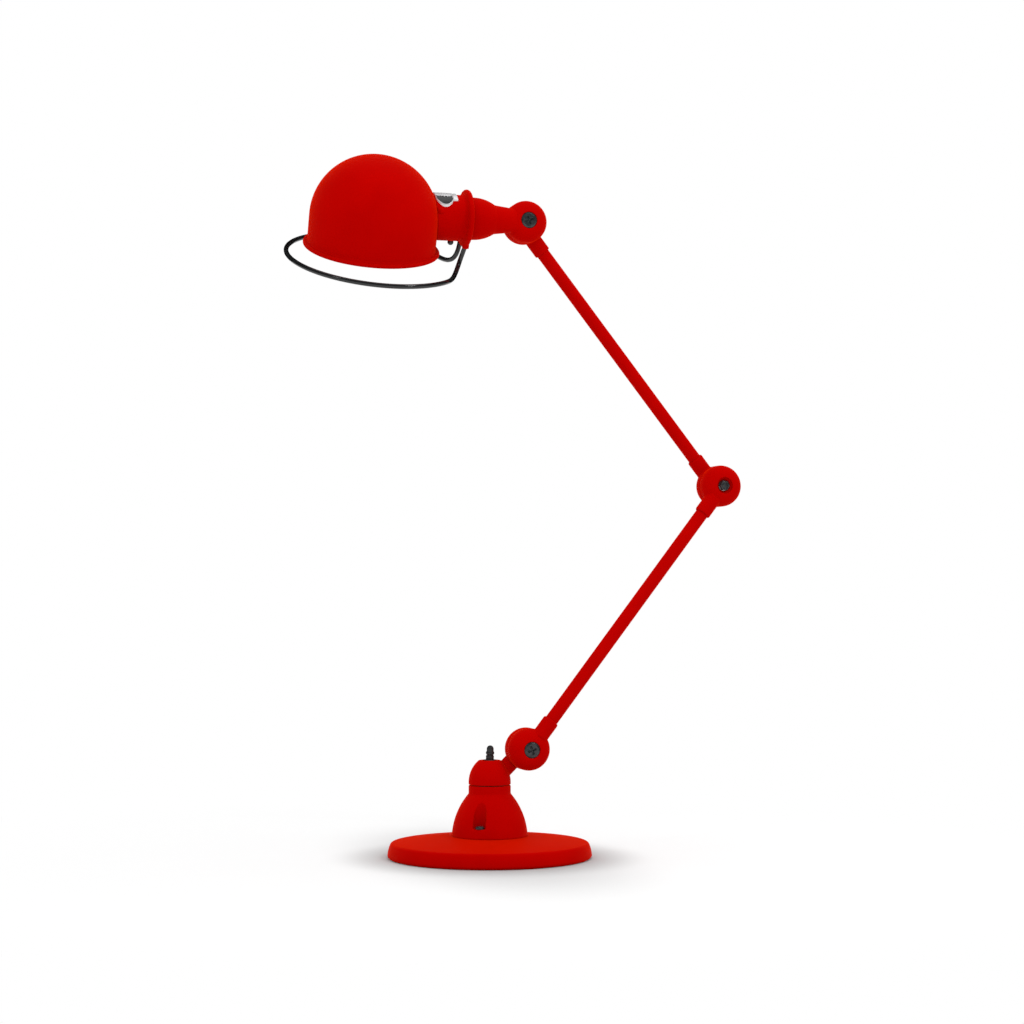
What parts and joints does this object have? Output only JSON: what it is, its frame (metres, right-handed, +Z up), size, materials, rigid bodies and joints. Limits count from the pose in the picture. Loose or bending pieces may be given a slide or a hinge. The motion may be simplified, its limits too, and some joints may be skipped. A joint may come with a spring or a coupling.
{
  "type": "desk lamp",
  "caption": "Desk lamp with a weighted disc base, two jointed arms, and a domed shade that rolls about its neck under a wire guard ring.",
  "frame": {"origin": "middle of the rubber pad under the base, at desk level, on the swivel axis", "axes": "+Z up, -Y the front where the lower arm's joint halves are, the lower arm leans towards +X and the shade points to -X; joint pins lie along Y"},
  "size_m": [0.4211, 0.1828, 0.6225],
  "materials": {
    "red_paint": "satin powder coat",
    "cast_iron": "rough cast",
    "rubber": "matte",
    "black_steel": "blackened, semi-gloss",
    "black_wire": "gloss black lacquer",
    "zinc_steel": "zinc plated",
    "black_plastic": "semi-matte moulded",
    "brass": "plain",
    "fibre": "phenolic fibre, matte",
    "wire_sleeve": "matte",
    "plate_metal": "brushed, with a bright rim",
    "bulb_glass": "frosted"
  },
  "bodies": {
    "base": {"base_pad": "rubber", "base_weight": "cast_iron", "base_cover": "red_paint", "bell": "red_paint", "bell_screws": "black_steel", "cord_grommet": "rubber", "spindle": "zinc_steel", "spindle_nuts": "zinc_steel", "swivel_washer": "rubber"},
    "swivel": {"swivel_cap": "red_paint", "stub_tube": "red_paint", "switch_body": "black_plastic", "switch_nut": "black_steel", "shoulder_back": "red_paint", "shoulder_friction_disc": "brass", "shoulder_back_insulator": "fibre", "shoulder_contact_rings": "brass"},
    "switch_lever": {"switch_bat": "zinc_steel", "switch_boot": "black_plastic"},
    "lower_arm": {"shoulder_front": "red_paint", "shoulder_bolt": "black_steel", "shoulder_front_insulator": "fibre", "shoulder_contact_pins": "brass", "lower_arm_tube": "red_paint", "lower_arm_wires": "wire_sleeve", "elbow_front": "red_paint", "elbow_friction_disc": "brass", "elbow_front_insulator": "fibre", "elbow_contact_pins": "brass", "shoulder_nut": "black_steel", "shoulder_springs": "zinc_steel"},
    "upper_arm": {"elbow_back": "red_paint", "elbow_bolt": "black_steel", "elbow_back_insulator": "fibre", "elbow_contact_rings": "brass", "upper_arm_tube": "red_paint", "upper_arm_wires": "wire_sleeve", "wrist_back": "red_paint", "wrist_friction_disc": "brass", "wrist_back_insulator": "fibre", "wrist_contact_rings": "brass", "elbow_nut": "black_steel", "elbow_springs": "zinc_steel"},
    "head_carrier": {"head_carrier": "red_paint", "wrist_bolt": "black_steel", "wrist_front_insulator": "fibre", "wrist_contact_pins": "brass", "head_spindle": "zinc_steel", "head_spindle_nut": "zinc_steel", "wrist_nut": "black_steel", "wrist_springs": "zinc_steel"},
    "head": {"neck": "red_paint", "neck_screw": "black_steel", "neck_rivets": "red_paint", "nameplate": "plate_metal", "guard_ring": "black_wire", "shade": "red_paint", "lampholder": "black_plastic", "bulb_glass": "bulb_glass", "bulb_cap": "brass"}
  },
  "joints": [
    {"name": "base_swivel", "type": "hinge", "parent": "base", "child": "swivel", "pos_m": [0, 0, 0.065], "axis": [0, 0, 1], "range_deg": [-170, 170]},
    {"name": "switch_toggle", "type": "hinge", "parent": "swivel", "child": "switch_lever", "pos_m": [0, 0, 0.0826], "axis": [-1, 0, 0], "range_deg": [0, 16]},
    {"name": "shoulder", "type": "hinge", "parent": "swivel", "child": "lower_arm", "pos_m": [0.0324, -0.00915, 0.0965], "axis": [0, 1, 0], "range_deg": [-70, 50]},
    {"name": "elbow", "type": "hinge", "parent": "lower_arm", "child": "upper_arm", "pos_m": [0.21586, -0.00915, 0.33387], "axis": [0, -1, 0], "range_deg": [-100, 60]},
    {"name": "wrist", "type": "hinge", "parent": "upper_arm", "child": "head_carrier", "pos_m": [0.03034, -0.00915, 0.56962], "axis": [0, 1, 0], "range_deg": [-45, 95]},
    {"name": "head_roll", "type": "hinge", "parent": "head_carrier", "child": "head", "pos_m": [0.03034, -0.0183, 0.56962], "axis": [-1, 0, 0], "range_deg": [-150, 150]}
  ]
}
